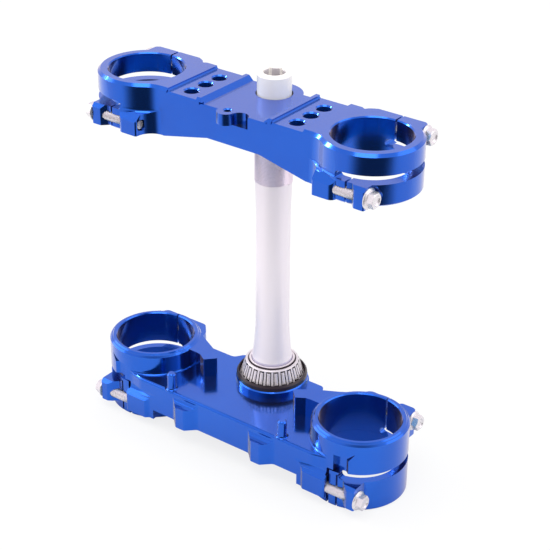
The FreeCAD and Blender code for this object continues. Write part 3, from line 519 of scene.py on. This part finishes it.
stem_rings = dict(round_place(0.0, 50.0), Pitch=0.6 * MM, Depth=0.012 * MM)
stem_metal = make_metal("stem_aluminium", (0.97, 0.90, 0.95), (0.93, 0.86, 0.92), smooth=0.36, rough=0.46,
                        metallic=0.24, cloud_scale=12.0, rings=[stem_rings],
                        painted_shades=[(round_place(*SEAT_REFLECTION_BAND), SEAT_PAINTED_REFLECTION)])
thread_metal = make_metal("thread_aluminium", (0.95, 0.84, 0.92), (0.90, 0.79, 0.88), smooth=0.24, rough=0.34,
                          metallic=0.5, cloud_scale=12.0)
bolt_metal = make_metal("bolt_aluminium", (1.0, 0.96, 0.92), (0.96, 0.92, 0.88), smooth=0.20, rough=0.30,
                        metallic=0.05, rings=[stem_rings],
                        painted_shades=[(round_place(0.0, SOCKET_R), SOCKET_SHADE)])
print("aluminium:", [metal.name for metal in (stem_metal, thread_metal, bolt_metal)])

# %% [markdown]
# Bearing steel. Rollers and cone are ground bright, and the cage is pressed from duller sheet. The dark lines
# between them are shade, and they are what makes a bearing read as one, so both steels get the painted shade
# at the pocket edges, and two thin painted shades mark the gap between cone and cage and the joint between
# cone and stem. The lines could be cut wider in the solids, but then the bearing would no longer fit
# together.

# %% Mix the bearing's steel
ROLLER_COUNT = sum("roller" in name for name in nodes)
ROLLER_MIDDLE_UP = 8.1 * MM
# painted shades: a dark line in the gap between cone and cage and at the cage's lip, a lighter one at the
# joint with the stem
GAP_SHADE = (0.060, 0.042, 0.055)
CONTACT_SHADE = (0.30, 0.25, 0.31)
CONE_RIM = (17.02, 17.60)
CONE_BORE_EDGE = 15.42
CAGE_LIP_EDGE = 18.05

cone_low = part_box("bearing_inner_race")[0]
pockets = dict(Count=float(ROLLER_COUNT), Middle=cone_low.z + ROLLER_MIDDLE_UP,
               Outer_limit=-0.60, Outer_reach=5.2 * MM, Inner_limit=0.10, Inner_reach=4.4 * MM)
bearing_metal = make_metal("bearing_steel", (0.90, 0.82, 0.86), (0.84, 0.76, 0.80), smooth=0.20, rough=0.28,
                           metallic=0.35, rings=[stem_rings], pockets=pockets,
                           painted_shades=[(round_place(*CONE_RIM), GAP_SHADE),
                                   (round_place(0.0, CONE_BORE_EDGE), CONTACT_SHADE)])
cage_metal = make_metal("cage_steel", (0.84, 0.77, 0.81), (0.74, 0.68, 0.72), smooth=0.28, rough=0.38,
                        metallic=0.25, pockets=pockets,
                        painted_shades=[(round_place(0.0, CAGE_LIP_EDGE), GAP_SHADE)])
print("rollers marked:", ROLLER_COUNT)

# %% [markdown]
# Zinc and rubber. The pinch bolts are plated with zinc, a pale and fairly bright metal. The seal is black
# rubber, not metal at all, with a soft gloss from its mould. A finish could be picked piece by piece, but a
# table of names is shorter and shows at a glance what is made of what.

# %% Mix zinc and rubber, and give out all finishes
zinc = make_metal("zinc_bolt", (0.92, 0.88, 0.91), (0.82, 0.79, 0.83), smooth=0.20, rough=0.32,
                  metallic=0.75, grain_scale=1800.0)
rubber = make_metal("seal_rubber", (0.034, 0.022, 0.030), (0.046, 0.030, 0.040), smooth=0.24, rough=0.38,
                    metallic=0.0, grain_depth=0.00002)
FINISH = {
    "top_clamp": blue_drilled,
    "bottom_clamp": blue,
    "steering_stem": stem_metal,
    "stem_bolt": bolt_metal,
    "bearing_inner_race": bearing_metal,
    "bearing_cage": cage_metal,
    "bearing_seal": rubber,
}
for name, node in nodes.items():
    finish = FINISH.get(name, bearing_metal if "roller" in name else zinc)
    node.data.materials.clear()
    node.data.materials.append(finish)
print("finishes:", len(bpy.data.materials))

# %% [markdown]
# The pinch bolts. Each is a flanged hexagon bolt with a dished head and a threaded shank, and the shank shows
# in the gap between two lugs. A thread could be faked with a bump, but here it is seen edge on, so it has to
# be real: a spin that also moves along its axis turns one tooth into one turn of thread, and copies of that
# turn make the whole screw. The flange and the tip are ordinary spins, and the hexagon is a circle of six
# segments that is extruded ring by ring.

# %% Helpers that spin a profile
Z_AXIS = Vector((0, 0, 1))
ROUND_STEPS = 48
ROUND_MERGE = 1e-7
THREAD_FLAT = 0.12
THREAD_MERGE = 0.01


def chain(form, points):
    """A run of edges in the XZ plane through (radius, height) pairs; gives its vertices and edges."""
    verts = [form.verts.new((radius, 0, height)) for radius, height in points]
    edges = [form.edges.new(pair) for pair in zip(verts, verts[1:])]
    return verts + edges


def spin_round(form, points, steps=ROUND_STEPS):
    """Turns a profile that starts and ends on the axis into a closed solid."""
    bmesh.ops.spin(form, geom=chain(form, points), cent=(0, 0, 0), axis=Z_AXIS, angle=math.tau, steps=steps,
                   use_merge=True)
    bmesh.ops.remove_doubles(form, verts=form.verts, dist=ROUND_MERGE)


def fill_open_ends(form):
    ends = [edge for edge in form.edges if edge.is_boundary]
    bmesh.ops.holes_fill(form, edges=ends, sides=0)


def spin_thread(form, root_r, crest_r, pitch, low, turns, steps):
    """One thread tooth, spun upward for a turn and repeated, with its open ends filled."""
    flat = THREAD_FLAT * pitch
    tooth = chain(form, [(root_r, low), (root_r, low + flat), (crest_r, low + pitch / 2),
                         (crest_r, low + pitch / 2 + flat), (root_r, low + pitch)])
    bmesh.ops.spin(form, geom=tooth, cent=(0, 0, 0), axis=Z_AXIS, dvec=Z_AXIS * (pitch / steps),
                   angle=math.tau, steps=steps)
    first_turn = form.verts[:] + form.edges[:] + form.faces[:]
    for turn_number in range(1, turns):
        made = bmesh.ops.duplicate(form, geom=first_turn)["geom"]
        verts = [item for item in made if isinstance(item, bmesh.types.BMVert)]
        bmesh.ops.translate(form, vec=Z_AXIS * pitch * turn_number, verts=verts)
    bmesh.ops.remove_doubles(form, verts=form.verts, dist=pitch * THREAD_MERGE)
    fill_open_ends(form)


print("thread flats:", THREAD_FLAT, "of the pitch")

# %% Helpers for the hexagon head
HEX_ACROSS = 10.0 * MM
HEX_CORNER = HEX_ACROSS / math.sqrt(3)
HEX_SIDE_CUTS = 5
HEX_CONE_SLOPE = math.tan(math.radians(30))
FACE_R = 4.75 * MM
DISH = [(FACE_R, 0.0), (3.7 * MM, 0.0), (3.3 * MM, 0.5 * MM), (2.4 * MM, 1.0 * MM)]


def next_ring(form, edges, place):
    """Extrudes a ring of edges and puts each new vertex where place(vertex) says."""
    made = bmesh.ops.extrude_edge_only(form, edges=edges)["geom"]
    for vert in [item for item in made if isinstance(item, bmesh.types.BMVert)]:
        vert.co = place(vert.co)
    return [item for item in made if isinstance(item, bmesh.types.BMEdge)]


def on_circle(co, radius, height):
    flat = Vector((co.x, co.y, 0)).normalized() * radius
    return Vector((flat.x, flat.y, height))


def hexagon_head(form, low, top):
    """A hexagon with its corners turned off by a cone, and a shallow dish in its face."""
    def on_cone(co):
        return Vector((co.x, co.y, top - (co.xy.length - FACE_R) * HEX_CONE_SLOPE))

    bmesh.ops.create_circle(form, cap_ends=False, segments=6, radius=HEX_CORNER)
    bmesh.ops.subdivide_edges(form, edges=list(form.edges), cuts=HEX_SIDE_CUTS)
    bmesh.ops.translate(form, vec=(0, 0, low), verts=form.verts)
    ring = next_ring(form, list(form.edges), on_cone)
    for radius, deep in DISH:
        ring = next_ring(form, ring, lambda co: on_circle(co, radius, top - deep))
    fill_open_ends(form)


print("hexagon:", HEX_ACROSS / MM, "mm across its flats")

# %% Shape one bolt along +Z, its flange seated at height zero
BOLT_R = 4.0 * MM
THREAD_ROOT_R = 3.24 * MM
BOLT_PITCH = 1.25 * MM
BOLT_LENGTH = 40.0 * MM
BARE_TIP = 1.0 * MM
BOLT_STEPS = 24
HEAD_LOW = 1.5 * MM
HEAD_TALL = 6.4 * MM
TIP = [(0, 0), (2.9, 0), (3.5, 0.8), (3.5, 2.0), (0, 2.0)]
FLANGE = [(0, 0), (6.95, 0), (7.2, 0.25), (7.2, 0.75), (7.0, 1.0), (5.9, 1.75), (5.2, 2.0), (0, 2.0)]


def in_metres(profile, lift=0.0):
    """(radius, height) pairs from millimetres to metres, moved up by lift."""
    return [(radius * MM, height * MM + lift) for radius, height in profile]


def shape_bolt():
    """The four closed solids of a bolt in one mesh: screw, tip, flange and head."""
    screw, tip, flange, head = (bmesh.new() for part in range(4))
    turns = int((BOLT_LENGTH - BARE_TIP) / BOLT_PITCH)
    spin_thread(screw, THREAD_ROOT_R, BOLT_R, BOLT_PITCH, -turns * BOLT_PITCH, turns, BOLT_STEPS)
    spin_round(tip, in_metres(TIP, -BOLT_LENGTH), BOLT_STEPS)
    spin_round(flange, in_metres(FLANGE))
    hexagon_head(head, HEAD_LOW, HEAD_TALL)
    whole = bpy.data.meshes.new("pinch_bolt_form")
    bolt = bmesh.new()
    for part in (screw, tip, flange, head):
        bmesh.ops.recalc_face_normals(part, faces=part.faces)
        part.to_mesh(whole)
        bolt.from_mesh(whole)
        part.free()
    bolt.to_mesh(whole)
    bolt.free()
    return whole


bolt_form = shape_bolt()
print("one bolt:", len(bolt_form.polygons), "faces")

# %% [markdown]
# Placing the bolts. On the real part all eight are the same, with their heads on the outside. So one form is
# copied eight times. It is laid on its side and seated by the box of the plain bolt that it replaces, and its
# place goes into its mesh. Eight objects could share one mesh, but then they would have to be moved as
# objects, and here every piece stands at the origin with its place in its own mesh.

# %% Put a bolt in every lug
SHARP_ANGLE = math.radians(28)


def smooth_but_sharp_edges(mesh):
    """Smooth shading that keeps the sharp edges."""
    form = bmesh.new()
    form.from_mesh(mesh)
    for face in form.faces:
        face.smooth = True
    for edge in form.edges:
        if edge.is_manifold:
            edge.smooth = edge.calc_face_angle() < SHARP_ANGLE
    form.to_mesh(mesh)
    form.free()


bolt_nodes = sorted(name for name in nodes if name.endswith("_bolt") and name != "stem_bolt")
for name in bolt_nodes:
    low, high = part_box(name)
    side = 1 if high.x > 0 else -1
    seat_x = (high.x if side > 0 else low.x) - side * HEAD_TALL
    mesh = bolt_form.copy()
    mesh.name = name + "_shape"
    lay_down = Matrix.Rotation(side * math.pi / 2, 4, "Y")
    mesh.transform(Matrix.Translation((seat_x, (low.y + high.y) / 2, (low.z + high.z) / 2)) @ lay_down)
    smooth_but_sharp_edges(mesh)
    mesh.materials.append(zinc)
    bolt = bpy.data.objects.new(name + "_threaded", mesh)
    bpy.context.scene.collection.objects.link(bolt)
    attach(bolt, "clamps")
    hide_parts(name)
print("bolts:", len(bolt_nodes))

# %% [markdown]
# The stem's thread. The upper end of the stem has a fine thread for the nut that sets the bearing's play. It
# shows below the top clamp. The plain stem could be replaced as a whole, but its solid is right as it is, so
# the thread is one more thread spin, laid over it as a thin sleeve.

# %% Cut the stem's thread
STEM_R = 13.1 * MM
STEM_THREAD_LIFT = 0.01 * MM
STEM_THREAD_TALL = 0.38 * MM
STEM_THREAD_LOW = 190.5 * MM
STEM_PITCH = 1.0 * MM
STEM_TURNS = 42
STEM_STEPS = 64

thread_form = bmesh.new()
spin_thread(thread_form, STEM_R + STEM_THREAD_LIFT, STEM_R + STEM_THREAD_TALL, STEM_PITCH, STEM_THREAD_LOW,
            STEM_TURNS, STEM_STEPS)
bmesh.ops.recalc_face_normals(thread_form, faces=thread_form.faces)
thread_mesh = bpy.data.meshes.new("stem_thread")
thread_form.to_mesh(thread_mesh)
thread_form.free()
smooth_but_sharp_edges(thread_mesh)
thread_mesh.materials.append(thread_metal)
stem_thread = bpy.data.objects.new("stem_thread", thread_mesh)
bpy.context.scene.collection.objects.link(stem_thread)
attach(stem_thread, "clamps")
print("stem thread:", STEM_TURNS, "turns")

# %% [markdown]
# Broken edges. A milled part never has a razor edge: the tool or the deburring leaves a tiny rounding that
# catches the light as a thin bright line. The clamps get it from modifiers, so that their own meshes stay
# as they are: Weld joins the loose triangles, a planar Decimate turns each flat into one face, Bevel rounds
# the sharp edges, and Weighted Normal keeps the flats flat.

# %% Round the clamps' edges
EDGE_WIDTH = 0.35 * MM
EDGE_SEGMENTS = 2
WELD_REACH = 1e-6
FLAT_ANGLE = math.radians(0.6)
FLAT_WEIGHT = 80


def break_edges(node):
    weld = node.modifiers.new("join_triangles", "WELD")
    weld.merge_threshold = WELD_REACH
    flats = node.modifiers.new("whole_flats", "DECIMATE")
    flats.decimate_type = "DISSOLVE"
    flats.angle_limit = FLAT_ANGLE
    edge = node.modifiers.new("broken_edges", "BEVEL")
    edge.width = EDGE_WIDTH
    edge.segments = EDGE_SEGMENTS
    edge.limit_method = "ANGLE"
    edge.angle_limit = SHARP_ANGLE
    edge.miter_outer = "MITER_ARC"
    edge.use_clamp_overlap = True
    level = node.modifiers.new("level_flats", "WEIGHTED_NORMAL")
    level.keep_sharp = False
    level.weight = FLAT_WEIGHT
    for face in node.data.polygons:
        face.use_smooth = True


for name in ("top_clamp", "bottom_clamp"):
    break_edges(nodes[name])
print("edges broken by", EDGE_WIDTH / MM, "mm")

# %% [markdown]
# The dressed part has to keep the size of the solids. The picture is shown without a film look, so that each
# colour comes out about as it is written here.

bpy.context.scene.view_settings.view_transform = "Standard"
